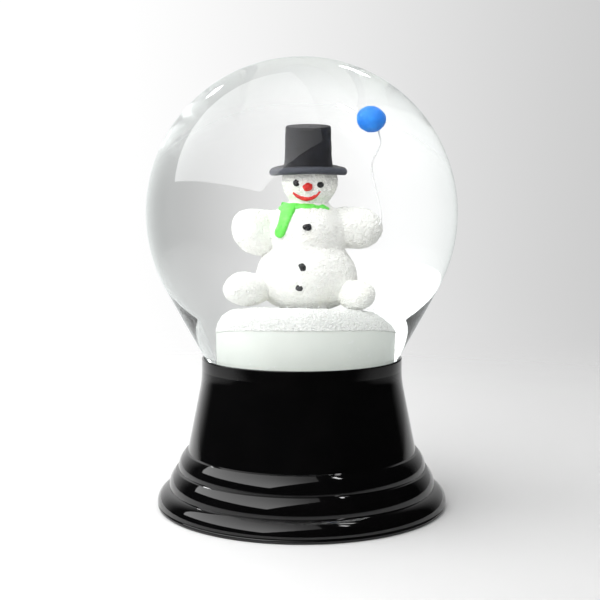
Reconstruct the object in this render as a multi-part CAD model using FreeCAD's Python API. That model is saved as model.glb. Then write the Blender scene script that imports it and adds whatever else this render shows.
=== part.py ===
import FreeCAD, Part
import math
import os

# A water-filled glass snow globe on a stepped, hollow base, with a small snowman
# in a top hat inside it, who holds a balloon on a springy wire.
# Millimetres, +Z up. The origin is the centre of the underside, on the floor.
# The snowman faces -Y, and "left" and "right" are as seen from the front.

V = FreeCAD.Vector
UP = V(0, 0, 1)
FORWARD = V(0, -1, 0)

# ---- Driving dimensions: glass ----
GLOBE_R = 40.0
GLOBE_Z = 75.64
GLOBE_WALL = 1.6
CONE_SLOPE = 0.55          # radius lost per mm of height under the sphere
INNER_CONE_SLOPE = 0.58
NECK_R = 23.7
NECK_BORE_R = 21.2
NECK_BOTTOM_Z = 22.0
NECK_FILLET = 6.0

# ---- Driving dimensions: base ----
RIM_Z = 38.6
RIM_R = 26.1
LIP_BORE_R = 25.6
LIP_ROUND = 0.25
LIP_ROUND_AT_EDGE = 0.2475  # a hair under, so that a flat is left beside the bore
COLLAR_BORE_R = 24.6
COLLAR_TAPER_Z = 36.4
FLARE_TOP_Z = 33.0
FLARE_ROUND = 26.0
WAIST_R = 29.85
WAIST_Z = 14.5
# Each ridge: radius and height where its bulge starts, then where it ends.
RIDGES = [
    ((30.45, 14.25), (32.4, 9.9)),
    ((33.0, 9.65), (34.8, 5.1)),
    ((35.45, 4.85), (37.85, 1.3)),
]
FOOT_R = 37.8
FOOT_Z = 1.15
FOOT_GROOVE_R = 37.4
FOOT_FLAT_R = 37.5
FOOT_BORE_R = 35.7
SHELL_WALL = 1.8
PLATE_Z = 1.0
PLATE_THICK = 1.6
PAD_R = 34.6
PAD_LIFT = 0.2

# ---- Driving dimensions: stopper, seal and filling ----
FIT_GAP = 0.1
FLANGE_R = 23.6
FLANGE_THICK = 3.0
PLUG_TOP_Z = 34.0
PLUG_RECESS_R = 13.0
PLUG_RECESS_DEEP = 7.0
GASKET_Z = 29.5
GASKET_TALL = 4.5

# ---- Driving dimensions: scenery inside the glass ----
FIGURE_X = 0.8
DRUM_R = 17.5
DRUM_TOP_Z = 49.6
MOUND_R = 17.6
MOUND_CORNER_R = 16.4
MOUND_TOP_Z = 56.3
MOUND_ROUND = 4.0
FLAKE_R = 0.45
FLAKE_THICK = 0.15
FLAKES_ON_MOUND, MOUND_RING_R, MOUND_RING_SPREAD = 26, 11.0, 0.9
FLAKES_IN_TROUGH, TROUGH_RING_SPREAD = 34, 0.3
GOLDEN_ANGLE = math.pi * (3 - math.sqrt(5))

# ---- Driving dimensions: snowman (centre, then radius across and half height) ----
BELLY_AT, BELLY_R, BELLY_HALF = V(1.0, 0, 63.4), 9.8, 7.6
TORSO_AT, TORSO_R, TORSO_HALF = V(1.1, 0, 72.0), 7.5, 6.5
HEAD_AT, HEAD_R = V(1.55, 0, 82.2), 5.35
WAIST_CREASE_Z = 68.8
NECK_CREASE_Z = 77.9
ARM_LEFT_AT, ARM_LEFT_TILT, ARM_LEFT_R, ARM_LEFT_HALF = V(-9.4, -1.2, 72.4), -52, 3.7, 4.5
ARM_RIGHT_AT, ARM_RIGHT_TILT, ARM_RIGHT_R, ARM_RIGHT_HALF = V(10.2, -1.2, 73.0), 12, 3.8, 5.2
FOOT_LEFT_AT, FOOT_LEFT_AIM, FOOT_LEFT_R = V(-11.5, -4.2, 60.2), V(-1.0, -0.55, -0.05), 3.95
FOOT_RIGHT_AT, FOOT_RIGHT_AIM, FOOT_RIGHT_R = V(10.8, -5.4, 59.0), V(0.8, -0.8, -0.03), 3.3
FOOT_HALF = 4.9

SCARF_RING_R, SCARF_ROLL_R, SCARF_Z = 4.3, 1.05, 77.75
SCARF_SET_LEFT = 0.2
SCARF_TAIL = [V(-3.6, 0, 77.2), V(-2.0, 0, 77.6), V(-3.5, 0, 71.4), V(-5.4, 0, 71.8)]
SCARF_THICK = 0.7

BRIM_R, BRIM_Z, BRIM_THICK = 7.55, 83.8, 1.4
BRIM_ROUND = 0.6
CROWN_R, CROWN_TOP_R, CROWN_TOP_Z = 4.6, 4.35, 92.7
HAT_X = 1.25

EYE_R = 0.68
EYES_AT = [(-1.07, 81.9), (3.64, 81.55)]
NOSE_R, NOSE_AT = 0.9, (1.12, 81.1)
MOUTH_THICK_R = 0.33
MOUTH_AT = [(-1.56, 79.75), (0.95, 78.75), (3.56, 80.0)]
BUTTON_R, BUTTON_PROUD = 0.85, 0.5
TORSO_BUTTON_AT = (1.1, 73.2)
BELLY_BUTTONS_AT = [(0.1, 65.05), (-0.48, 60.9)]

# ---- Driving dimensions: balloon on its wire ----
BALLOON_AT, BALLOON_R, BALLOON_HALF = V(13.6, -1.4, 94.3), 3.0, 2.7
WIRE_R = 0.175
WIRE_ROUTE = [
    V(15.5, -1.2, 74.75),
    V(15.15, -1.2, 77.4),
    V(14.4, -1.1, 80.8),
    V(13.7, -1.1, 83.9),
    V(13.8, -1.2, 86.1),
    V(15.4, -1.4, 89.4),
    V(15.0, -1.4, 92.6),
]
RUN_SHARE_IN_BEND = 0.45   # of the shorter run beside each bend
SWAY_ROOM = 0.3            # least gap between the liquid and the balloon on its wire


# ---- Helpers ----

def bend_points(before, corner, after, radius):
    """Start, middle and end of the arc that rounds a corner of a path."""
    back = (before - corner).normalize()
    on = (after - corner).normalize()
    half_turn = (math.pi - back.getAngle(on)) / 2
    cut = radius * math.tan(half_turn)
    inward = (back + on).normalize()
    reach = radius / math.cos(half_turn) - radius
    return corner + back * cut, corner + inward * reach, corner + on * cut


def rounded_edges(points, radii):
    """Straight runs through the points, with an arc at each inner point whose radius isn't 0."""
    edges = []
    start = points[0]
    for before, corner, after, radius in zip(points, points[1:], points[2:], radii):
        if radius:
            first, middle, last = bend_points(before, corner, after, radius)
            edges.append(Part.LineSegment(start, first).toShape())
            edges.append(Part.Arc(first, middle, last).toShape())
            start = last
        else:
            edges.append(Part.LineSegment(start, corner).toShape())
            start = corner
    edges.append(Part.LineSegment(start, points[-1]).toShape())
    return edges


def arc(first, middle, last):
    return Part.Arc(first, middle, last).toShape()


def line(first, last):
    return Part.LineSegment(first, last).toShape()


def at(radius, height):
    """A point of an outline, in the X-Z half plane that is turned about Z."""
    return V(radius, 0, height)


def turned(edges, centre=V(0, 0, 0), axis=UP):
    """The solid that a closed outline sweeps in one full turn."""
    face = Part.Face(Part.Wire(Part.__sortEdges__(edges)))
    return face.revolve(centre, axis, 360)


def polygon_turned(points):
    """The solid turned from a closed outline of straight sides."""
    return turned([line(a, b) for a, b in zip(points, points[1:] + points[:1])])


def ring(inner_r, outer_r, bottom, top):
    return polygon_turned([at(inner_r, bottom), at(outer_r, bottom), at(outer_r, top), at(inner_r, top)])


def disc(radius, bottom, top, x=0.0):
    return Part.makeCylinder(radius, top - bottom, V(x, 0, bottom))


def ellipsoid(centre, across, half, aim=UP):
    """An ellipsoid that is round about the line through centre along aim."""
    stretch = FreeCAD.Matrix()
    stretch.scale(V(across, across, half))
    solid = Part.makeSphere(1).transformGeometry(stretch)
    solid.Placement = FreeCAD.Placement(centre, FreeCAD.Rotation(UP, aim))
    return solid


def front_y(centre, across, half, x, z):
    """How far forward an upright ellipsoid's surface stands at x and z."""
    share = 1 - ((x - centre.x) / across) ** 2 - ((z - centre.z) / half) ** 2
    return centre.y - across * math.sqrt(share)


def below(shape, height):
    """The part of a solid under a level plane."""
    box = shape.BoundBox
    slab = Part.makeBox(
        box.XLength, box.YLength, height - box.ZMin, V(box.XMin, box.YMin, box.ZMin)
    )
    return shape.common(slab)


def above(shape, height):
    """The part of a solid over a level plane."""
    box = shape.BoundBox
    slab = Part.makeBox(box.XLength, box.YLength, box.ZMax - height, V(box.XMin, box.YMin, height))
    return shape.common(slab)


# ---- Glass ----

def globe_outline(sphere_r, slope, neck_r, bottom):
    """Edges from the neck's bottom up the cone and over the sphere to the axis."""
    angle = math.atan(slope)
    leave = at(sphere_r * math.cos(angle), GLOBE_Z - sphere_r * math.sin(angle))
    corner = at(neck_r, leave.z - (leave.x - neck_r) / slope)
    side_angle = (math.pi / 2 - angle) / 2
    over = at(sphere_r * math.cos(side_angle), GLOBE_Z + sphere_r * math.sin(side_angle))
    top = at(0, GLOBE_Z + sphere_r)
    edges = rounded_edges([at(neck_r, bottom), corner, leave], [NECK_FILLET])
    return edges + [arc(leave, over, top)]


def glass_globe():
    outside = globe_outline(GLOBE_R, CONE_SLOPE, NECK_R, NECK_BOTTOM_Z)
    inside = globe_outline(GLOBE_R - GLOBE_WALL, INNER_CONE_SLOPE, NECK_BORE_R, NECK_BOTTOM_Z)
    crown = line(at(0, GLOBE_Z + GLOBE_R - GLOBE_WALL), at(0, GLOBE_Z + GLOBE_R))
    end = line(at(NECK_BORE_R, NECK_BOTTOM_Z), at(NECK_R, NECK_BOTTOM_Z))
    return turned(outside + inside + [crown, end])


def liquid_room():
    """The space inside the glass above the stopper."""
    bore_r = NECK_BORE_R - FIT_GAP
    bottom = PLUG_TOP_Z
    edges = globe_outline(GLOBE_R - GLOBE_WALL - FIT_GAP, INNER_CONE_SLOPE, bore_r, bottom)
    top = at(0, GLOBE_Z + GLOBE_R - GLOBE_WALL - FIT_GAP)
    return turned(edges + [line(top, at(0, bottom)), line(at(0, bottom), at(bore_r, bottom))])


def rubber_stopper():
    """A plug in the neck with a flange under the glass and a moulded recess underneath."""
    flange_bottom = NECK_BOTTOM_Z - FLANGE_THICK
    recess_top = flange_bottom + PLUG_RECESS_DEEP
    plug_r = NECK_BORE_R - FIT_GAP
    return polygon_turned([
        at(PLUG_RECESS_R, flange_bottom),
        at(FLANGE_R, flange_bottom),
        at(FLANGE_R, NECK_BOTTOM_Z),
        at(plug_r, NECK_BOTTOM_Z),
        at(plug_r, PLUG_TOP_Z),
        at(0, PLUG_TOP_Z),
        at(0, recess_top),
        at(PLUG_RECESS_R, recess_top),
    ])


# ---- Base ----

def ridge_arc(start, end):
    """A bulge that starts at a shelf and ends upright."""
    (r0, z0), (r1, z1) = start, end
    radius = ((r1 - r0) ** 2 + (z0 - z1) ** 2) / (2 * (r1 - r0))
    half = math.asin((z0 - z1) / radius) / 2
    middle = at(r1 - radius * (1 - math.cos(half)), z1 + radius * math.sin(half))
    return arc(at(r0, z0), middle, at(r1, z1))


def shell_outside():
    """Edges down the outside of the base, from the top of its lip to its underside."""
    rim_top = at(RIM_R - LIP_ROUND, RIM_Z)
    flare_top = at(RIM_R, FLARE_TOP_Z)
    waist = at(WAIST_R, WAIST_Z)
    edges = rounded_edges(
        [rim_top, at(RIM_R, RIM_Z), flare_top, waist], [LIP_ROUND_AT_EDGE, FLARE_ROUND]
    )
    last = waist
    for start, end in RIDGES:
        edges.append(line(last, at(*start)))
        edges.append(ridge_arc(start, end))
        last = at(*end)
    groove = at(FOOT_GROOVE_R, FOOT_Z)
    edges.append(line(last, groove))
    edges.append(arc(groove, at(FOOT_R, FOOT_Z / 2), at(FOOT_FLAT_R, 0)))
    return edges


def shell_bore():
    """Corners up the inside of the base, from its underside to its lip."""
    plate_top = PLATE_Z + PLATE_THICK
    corners = [at(FOOT_BORE_R, 0), at(FOOT_BORE_R, plate_top)]
    for (_, z0), (r1, z1) in reversed(RIDGES):
        if z1 > plate_top:
            corners.append(at(r1 - SHELL_WALL, z1))
    corners.append(at(WAIST_R - SHELL_WALL, WAIST_Z))
    corners.append(at(COLLAR_BORE_R, FLARE_TOP_Z))
    corners.append(at(COLLAR_BORE_R, COLLAR_TAPER_Z))
    corners.append(at(LIP_BORE_R, RIM_Z))
    return corners


def base_shell():
    bore = shell_bore()
    edges = shell_outside() + [line(a, b) for a, b in zip(bore, bore[1:])]
    edges.append(line(at(FOOT_FLAT_R, 0), bore[0]))
    edges.append(line(bore[-1], at(RIM_R - LIP_ROUND, RIM_Z)))
    return turned(edges)


def plaster_fill():
    """Set plaster that beds the neck and stopper and weighs the base down."""
    bore = [corner for corner in shell_bore() if PLATE_Z < corner.z <= FLARE_TOP_Z]
    wall = [at(corner.x - FIT_GAP, corner.z) for corner in bore]
    wall[-1] = at(COLLAR_BORE_R - FIT_GAP, GASKET_Z)
    body = polygon_turned([at(0, wall[0].z)] + wall + [at(0, GASKET_Z)])
    neck_room = disc(NECK_R + FIT_GAP, NECK_BOTTOM_Z - FLANGE_THICK, GASKET_Z)
    plug_of_plaster = disc(
        PLUG_RECESS_R - FIT_GAP,
        NECK_BOTTOM_Z - FLANGE_THICK,
        NECK_BOTTOM_Z - FLANGE_THICK + PLUG_RECESS_DEEP,
    )
    return body.cut(neck_room).fuse(plug_of_plaster).removeSplitter()


# ---- Snow scenery ----

def snow_mound():
    """A low heap with a flat top and a rounded shoulder, on the drum."""
    middle_top = at(0, MOUND_TOP_Z)
    middle = at(0, DRUM_TOP_Z)
    side = at(MOUND_R, DRUM_TOP_Z)
    edges = rounded_edges([side, at(MOUND_CORNER_R, MOUND_TOP_Z), middle_top], [MOUND_ROUND])
    heap = turned(edges + [line(middle_top, middle), line(middle, side)])
    heap.translate(V(FIGURE_X, 0, 0))
    return heap


def flake(x, y, z, turn):
    """One thin six-sided flake that lies flat."""
    corners = [
        V(x + FLAKE_R * math.cos(turn + k * math.pi / 3), y + FLAKE_R * math.sin(turn + k * math.pi / 3), z)
        for k in range(7)
    ]
    return Part.Face(Part.makePolygon(corners)).extrude(V(0, 0, FLAKE_THICK))


def flakes_on_ring(count, radius, spread, height, keep_off):
    """Flakes spread round a ring, apart from each other and off the solids given."""
    flakes = []
    for k in range(count):
        turn = 2 * math.pi * k / count
        distance = radius + spread * math.sin(k * GOLDEN_ANGLE)
        one = flake(
            FIGURE_X + distance * math.cos(turn), distance * math.sin(turn), height, k * GOLDEN_ANGLE
        )
        if all(one.distToShape(solid)[0] > FIT_GAP for solid in keep_off):
            flakes.append(one)
    return flakes


# ---- Snowman ----

def scarf_tail(torso):
    """The hanging end: a slanting strip that follows the chest."""
    outer = ellipsoid(TORSO_AT, TORSO_R + SCARF_THICK, TORSO_HALF + SCARF_THICK)
    corners = [V(p.x, -TORSO_R - SCARF_THICK, p.z) for p in SCARF_TAIL]
    strip = Part.Face(Part.makePolygon(corners + corners[:1])).extrude(V(0, TORSO_R, 0))
    return outer.common(strip).cut(torso)


def face_point(place):
    x, z = place
    return V(x, front_y(HEAD_AT, HEAD_R, HEAD_R, x, z), z)


def mouth():
    """A smiling roll along an arc on the face."""
    first, middle, last = [face_point(place) for place in MOUTH_AT]
    path = Part.Wire([arc(first, middle, last)])
    tangent = path.Edges[0].tangentAt(path.Edges[0].FirstParameter)
    section = Part.Wire([Part.Circle(first, tangent, MOUTH_THICK_R).toShape()])
    return path.makePipeShell([section], True, False)


def button(centre, across, half, place):
    """A lump of coal that stands a little proud of a rounded front."""
    x, z = place
    y = front_y(centre, across, half, x, z)
    return ellipsoid(V(x, y, z), BUTTON_R, BUTTON_PROUD, FORWARD)


# ---- Balloon wire ----

def wire_bend_radii():
    radii = []
    for before, corner, after in zip(WIRE_ROUTE, WIRE_ROUTE[1:], WIRE_ROUTE[2:]):
        shorter = min((corner - before).Length, (after - corner).Length)
        half_turn = (corner - before).getAngle(after - corner) / 2
        radii.append(RUN_SHARE_IN_BEND * shorter / math.tan(half_turn))
    return radii


def wire_tube(radius):
    path = Part.Wire(rounded_edges(WIRE_ROUTE, wire_bend_radii()))
    start = WIRE_ROUTE[0]
    section = Part.Wire([Part.Circle(start, WIRE_ROUTE[1] - start, radius).toShape()])
    return path.makePipeShell([section], True, False)


# ---- Assembly ----

def tilted(degrees):
    """A direction in the X-Z plane, raised from +X by an angle."""
    return V(math.cos(math.radians(degrees)), 0, math.sin(math.radians(degrees)))


def base_and_globe():
    gasket_top = GASKET_Z + GASKET_TALL
    plate_r = FOOT_BORE_R - FIT_GAP
    return {
        "base_shell": base_shell(),
        "plaster_fill": plaster_fill(),
        "bottom_plate": disc(plate_r, PLATE_Z, PLATE_Z + PLATE_THICK),
        "non_slip_pad": disc(PAD_R, PAD_LIFT, PLATE_Z),
        "collar_gasket": ring(NECK_R + FIT_GAP, COLLAR_BORE_R - FIT_GAP, GASKET_Z, gasket_top),
        "glass_globe": glass_globe(),
        "rubber_stopper": rubber_stopper(),
    }


def snowman():
    belly_whole = ellipsoid(BELLY_AT, BELLY_R, BELLY_HALF)
    torso_whole = ellipsoid(TORSO_AT, TORSO_R, TORSO_HALF)
    head_whole = Part.makeSphere(HEAD_R, HEAD_AT)
    belly = above(below(belly_whole, WAIST_CREASE_Z), MOUND_TOP_Z)
    torso = above(below(torso_whole, NECK_CREASE_Z), WAIST_CREASE_Z)
    head = above(below(head_whole, BRIM_Z), NECK_CREASE_Z)
    arm_left = ellipsoid(ARM_LEFT_AT, ARM_LEFT_R, ARM_LEFT_HALF, tilted(ARM_LEFT_TILT))
    arm_right = ellipsoid(ARM_RIGHT_AT, ARM_RIGHT_R, ARM_RIGHT_HALF, tilted(ARM_RIGHT_TILT))
    foot_left = ellipsoid(FOOT_LEFT_AT, FOOT_LEFT_R, FOOT_HALF, FOOT_LEFT_AIM)
    foot_right = ellipsoid(FOOT_RIGHT_AT, FOOT_RIGHT_R, FOOT_HALF, FOOT_RIGHT_AIM)
    scarf = Part.makeTorus(SCARF_RING_R, SCARF_ROLL_R, V(TORSO_AT.x - SCARF_SET_LEFT, 0, SCARF_Z))
    eyes = [ellipsoid(face_point(place), EYE_R, EYE_R, FORWARD).cut(head) for place in EYES_AT]
    pieces = {
        "snowman_belly": belly,
        "snowman_torso": torso,
        "snowman_head": head,
        "arm_left": arm_left.cut(torso).cut(belly),
        "arm_right": arm_right.cut(torso).cut(belly),
        "foot_left": above(foot_left, MOUND_TOP_Z).cut(belly),
        "foot_right": above(foot_right, MOUND_TOP_Z).cut(belly),
        "scarf_wrap": scarf.cut(torso).cut(head),
        "eyes": Part.makeCompound(eyes),
        "nose": ellipsoid(face_point(NOSE_AT), NOSE_R, NOSE_R, FORWARD).cut(head),
        "mouth": mouth().cut(head).cut(scarf),
        "button_chest": button(TORSO_AT, TORSO_R, TORSO_HALF, TORSO_BUTTON_AT).cut(torso),
    }
    pieces["scarf_tail"] = scarf_tail(torso).cut(pieces["scarf_wrap"]).cut(arm_left)
    for name, place in zip(["button_belly_upper", "button_belly_lower"], BELLY_BUTTONS_AT):
        pieces[name] = button(BELLY_AT, BELLY_R, BELLY_HALF, place).cut(belly)
    return pieces


def hat():
    brim_top = BRIM_Z + BRIM_THICK
    crown = Part.makeCone(CROWN_R, CROWN_TOP_R, CROWN_TOP_Z - brim_top, V(HAT_X, 0, brim_top))
    brim = disc(BRIM_R, BRIM_Z, brim_top, HAT_X)
    rims = [edge for edge in brim.Edges if isinstance(edge.Curve, Part.Circle)]
    return {"hat_brim": brim.makeFillet(BRIM_ROUND, rims), "hat_crown": crown}


def balloon_on_wire():
    balloon = ellipsoid(BALLOON_AT, BALLOON_R, BALLOON_HALF)
    return {"balloon": balloon, "balloon_wire": wire_tube(WIRE_R).cut(balloon)}


def liquid(pieces):
    """Liquid round everything in the globe, kept clear of what sways and of the left arm."""
    room = liquid_room()
    for piece in pieces:
        room = room.cut(piece)
    room = room.cut(Part.makeSphere(ARM_LEFT_HALF + FIT_GAP, ARM_LEFT_AT))
    balloon_room = Part.makeSphere(BALLOON_R + SWAY_ROOM, BALLOON_AT)
    return room.cut(balloon_room.fuse(wire_tube(WIRE_R + SWAY_ROOM)))


def build():
    parts = base_and_globe()
    figure = snowman()
    figure.update(hat())
    scenery = {
        "plinth_drum": disc(DRUM_R, PLUG_TOP_Z, DRUM_TOP_Z, FIGURE_X),
        "snow_mound": snow_mound(),
    }
    seated = [figure[name] for name in ("snowman_belly", "foot_left", "foot_right")]
    trough_r = (DRUM_R + NECK_BORE_R) / 2
    flakes = flakes_on_ring(FLAKES_ON_MOUND, MOUND_RING_R, MOUND_RING_SPREAD, MOUND_TOP_Z, seated)
    trough_wall = [scenery["plinth_drum"], parts["glass_globe"]]
    flakes += flakes_on_ring(
        FLAKES_IN_TROUGH, trough_r, TROUGH_RING_SPREAD, PLUG_TOP_Z, trough_wall
    )
    scenery["snow_flakes"] = Part.makeCompound(flakes)
    still = list(scenery.values())
    still += [piece for name, piece in figure.items() if name != "arm_left"]
    parts.update(scenery)
    parts.update(figure)
    parts.update(balloon_on_wire())
    parts["liquid_fill"] = liquid(still)
    return parts


os.makedirs("parts", exist_ok=True)
for name, shape in build().items():
    shape.exportStep("parts/" + name + ".step")
    print(name, "solids", len(shape.Solids), "mm3", round(shape.Volume, 2), "valid", shape.isValid())
print("wire bend radii", [round(radius, 1) for radius in wire_bend_radii()])
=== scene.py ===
import math

import bmesh
import bpy
from mathutils import Matrix, Vector, noise


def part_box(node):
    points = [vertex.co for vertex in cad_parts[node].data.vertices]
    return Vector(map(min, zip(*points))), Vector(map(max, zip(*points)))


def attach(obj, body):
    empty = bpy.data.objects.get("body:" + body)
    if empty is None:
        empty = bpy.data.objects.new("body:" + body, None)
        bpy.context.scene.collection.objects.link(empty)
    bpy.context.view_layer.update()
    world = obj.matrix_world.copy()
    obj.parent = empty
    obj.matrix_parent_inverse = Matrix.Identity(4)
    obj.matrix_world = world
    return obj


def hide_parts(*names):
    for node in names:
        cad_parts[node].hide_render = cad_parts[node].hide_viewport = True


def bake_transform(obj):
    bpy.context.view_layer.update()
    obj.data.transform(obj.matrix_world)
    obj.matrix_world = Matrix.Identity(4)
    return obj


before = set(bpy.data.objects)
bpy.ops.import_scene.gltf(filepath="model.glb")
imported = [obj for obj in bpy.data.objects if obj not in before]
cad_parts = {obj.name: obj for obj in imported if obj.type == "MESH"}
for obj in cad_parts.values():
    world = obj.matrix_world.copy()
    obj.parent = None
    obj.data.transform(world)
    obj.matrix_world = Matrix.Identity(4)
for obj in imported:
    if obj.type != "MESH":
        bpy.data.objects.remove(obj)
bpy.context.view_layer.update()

# A water-filled snow globe. The frame is in metres with +Z up, the snowman faces -Y,
# and left and right are as seen from the front. Sizes below are in millimetres, times MM.

MM = 0.001
BASE = "globe_and_base"
SWAYING = "balloon_on_wire"
WATER_IOR = 1.333
GLASS_IOR = 1.50
GOLDEN_ANGLE = math.pi * (3 - math.sqrt(5))
RANGE_SOCKETS = ("From Min", "From Max", "To Min", "To Max")


def box_mm(node):
    """A CAD node's lowest corner, highest corner and middle, in millimetres."""
    low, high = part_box(node)
    low, high = Vector(low) / MM, Vector(high) / MM
    return low, high, (low + high) / 2


def set_range(node, *limits):
    """Sets a Map Range node's four limits."""
    for socket, number in zip(RANGE_SOCKETS, limits):
        node.inputs[socket].default_value = number


# ---------------------------------------------------------------- materials
# In these recipes the sizes of noise and specks and the depths of bumps are millimetres.

class Paint:
    """One procedural material: a Principled shader, and short ways to add detail to it."""

    def __init__(self, name, color, roughness, **sockets):
        self.material = bpy.data.materials.new(name)
        self.material.use_nodes = True
        self.tree = self.material.node_tree
        self.shader = self.tree.nodes["Principled BSDF"]
        self.coordinates = self.tree.nodes.new("ShaderNodeTexCoord").outputs["Object"]
        self.color = color
        self.set("Base Color", (*color, 1))
        self.set("Roughness", roughness)
        for socket, value in sockets.items():
            self.set(socket.replace("_", " "), value)

    def set(self, socket, value):
        self.shader.inputs[socket].default_value = value

    def link(self, output, target):
        self.tree.links.new(output, target)

    def noise(self, size_mm, detail=2.0, rough=0.5, stretch=(1, 1, 1)):
        """Noise whose lumps are about size_mm across, stretched along the axes."""
        mapping = self.tree.nodes.new("ShaderNodeMapping")
        mapping.inputs["Scale"].default_value = [1 / s for s in stretch]
        self.link(self.coordinates, mapping.inputs["Vector"])
        texture = self.tree.nodes.new("ShaderNodeTexNoise")
        self.link(mapping.outputs[0], texture.inputs["Vector"])
        texture.inputs["Scale"].default_value = 1 / (size_mm * MM)
        texture.inputs["Detail"].default_value = detail
        texture.inputs["Roughness"].default_value = rough
        return texture.outputs["Fac"]

    def specks(self, size_mm):
        """Distance to the nearest of many scattered points, size_mm apart."""
        texture = self.tree.nodes.new("ShaderNodeTexVoronoi")
        self.link(self.coordinates, texture.inputs["Vector"])
        texture.inputs["Scale"].default_value = 1 / (size_mm * MM)
        return texture.outputs["Distance"]

    def ranged(self, value, low, high, to_low=0.0, to_high=1.0):
        """The value, with low to high spread over to_low to to_high and held there."""
        node = self.tree.nodes.new("ShaderNodeMapRange")
        self.link(value, node.inputs["Value"])
        set_range(node, low, high, to_low, to_high)
        return node.outputs[0]

    def from_axis(self, x_mm):
        """How far a point lies from the upright line at x_mm, in millimetres."""
        shift = self.tree.nodes.new("ShaderNodeVectorMath")
        shift.operation = "MULTIPLY_ADD"
        self.link(self.coordinates, shift.inputs[0])
        shift.inputs[1].default_value = (1 / MM, 1 / MM, 0)
        shift.inputs[2].default_value = (-x_mm, 0, 0)
        length = self.tree.nodes.new("ShaderNodeVectorMath")
        length.operation = "LENGTH"
        self.link(shift.outputs[0], length.inputs[0])
        return length.outputs["Value"]

    def mix_color(self, share, other):
        """Mixes another colour in, fully where share is 1."""
        mix = self.tree.nodes.new("ShaderNodeMix")
        mix.data_type = "RGBA"
        self.link(share, mix.inputs["Factor"])
        base = self.shader.inputs["Base Color"]
        if base.is_linked:
            self.link(base.links[0].from_socket, mix.inputs["A"])
        else:
            mix.inputs["A"].default_value = (*self.color, 1)
        mix.inputs["B"].default_value = (*other, 1)
        self.link(mix.outputs["Result"], base)

    def vary_roughness(self, value, low, high):
        """Spreads the middle of a noise, 0.3 to 0.7, over a range of roughness."""
        self.link(self.ranged(value, 0.3, 0.7, low, high), self.shader.inputs["Roughness"])

    def bump(self, value, depth_mm, strength=1.0):
        """Adds relief on top of any that is there already."""
        node = self.tree.nodes.new("ShaderNodeBump")
        node.inputs["Distance"].default_value = depth_mm * MM
        node.inputs["Strength"].default_value = strength
        self.link(value, node.inputs["Height"])
        normal = self.shader.inputs["Normal"]
        if normal.is_linked:
            self.link(normal.links[0].from_socket, node.inputs["Normal"])
        self.link(node.outputs[0], normal)


def black_gloss():
    """Polished black lacquer with a faint orange peel."""
    paint = Paint("black_gloss", (0.0012, 0.0012, 0.0013), 0.035, Specular_IOR_Level=0.5)
    paint.mix_color(paint.ranged(paint.noise(9, 3), 0.45, 0.75), (0.002, 0.0019, 0.002))
    paint.vary_roughness(paint.noise(14, 4), 0.025, 0.055)
    paint.bump(paint.noise(11, 2), 0.012, 0.3)
    return paint.material


def snow_paint():
    """Stippled white paint, brushed on thick."""
    paint = Paint("snow_paint", (0.955, 0.96, 0.925), 0.62)
    paint.mix_color(paint.ranged(paint.noise(1.1, 4, 0.7), 0.52, 0.72), (0.86, 0.87, 0.83))
    paint.mix_color(paint.ranged(paint.noise(5.0, 2), 0.55, 0.8), (0.945, 0.945, 0.87))
    paint.vary_roughness(paint.noise(0.8, 3), 0.5, 0.78)
    paint.bump(paint.specks(0.45), 0.28, 0.9)
    paint.bump(paint.noise(0.36, 3, 0.6), 0.2, 0.8)
    paint.bump(paint.noise(0.9, 3, 0.6, stretch=(0.5, 0.5, 2.2)), 0.16, 0.8)
    return paint.material


def granular_snow():
    """Loose flakes stuck in white glue, coarser than the paint on the figure."""
    paint = Paint("granular_snow", (0.95, 0.96, 0.94), 0.55)
    grain = paint.specks(0.55)
    paint.mix_color(paint.ranged(grain, 0.25, 0.75), (0.87, 0.885, 0.86))
    paint.vary_roughness(paint.noise(0.6, 3), 0.35, 0.75)
    paint.bump(grain, 0.4, 1.0)
    paint.bump(paint.noise(0.3, 3), 0.06, 0.7)
    return paint.material


def drum_resin():
    """Smooth, slightly green cast resin."""
    paint = Paint("drum_resin", (0.80, 0.835, 0.79), 0.48)
    paint.mix_color(paint.ranged(paint.noise(7, 3), 0.45, 0.75), (0.77, 0.81, 0.77))
    paint.vary_roughness(paint.noise(2, 3), 0.4, 0.6)
    paint.bump(paint.noise(1.6, 2, stretch=(4, 4, 1)), 0.03, 0.4)
    return paint.material


def hat_paint(axis_x, rim):
    """Charcoal paint with a chalky bloom, brush marks, and a painted sheen: a lighter, bluer rim
    between two radii, standing in for light on the brim's rounded edge.
    """
    paint = Paint("hat_paint", (0.004, 0.004, 0.006), 0.6, Specular_IOR_Level=0.3)
    paint.mix_color(paint.ranged(paint.noise(2.6, 4, 0.6), 0.45, 0.75), (0.012, 0.013, 0.019))
    paint.mix_color(paint.ranged(paint.noise(0.5, 3, 0.7), 0.60, 0.78), (0.030, 0.032, 0.042))
    # Painted sheen: the brim is lighter and bluer between two radii from the hat's axis, in place of
    # light caught on its rounded edge.
    rim_sheen = paint.ranged(paint.from_axis(axis_x), *rim, 0.0, 0.75)
    paint.mix_color(rim_sheen, (0.085, 0.092, 0.115))
    paint.vary_roughness(paint.noise(1.2, 3), 0.5, 0.75)
    paint.bump(paint.noise(0.7, 3, stretch=(3, 3, 0.7)), 0.08, 0.9)
    return paint.material


def scarf_paint():
    paint = Paint("scarf_paint", (0.12, 0.72, 0.075), 0.42)
    paint.mix_color(paint.ranged(paint.noise(1.3, 3, 0.6), 0.45, 0.7), (0.20, 0.86, 0.14))
    paint.mix_color(paint.ranged(paint.noise(0.6, 3), 0.58, 0.72), (0.05, 0.48, 0.03))
    paint.vary_roughness(paint.noise(0.8, 2), 0.32, 0.55)
    paint.bump(paint.noise(0.6, 3), 0.06, 0.7)
    return paint.material


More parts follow.
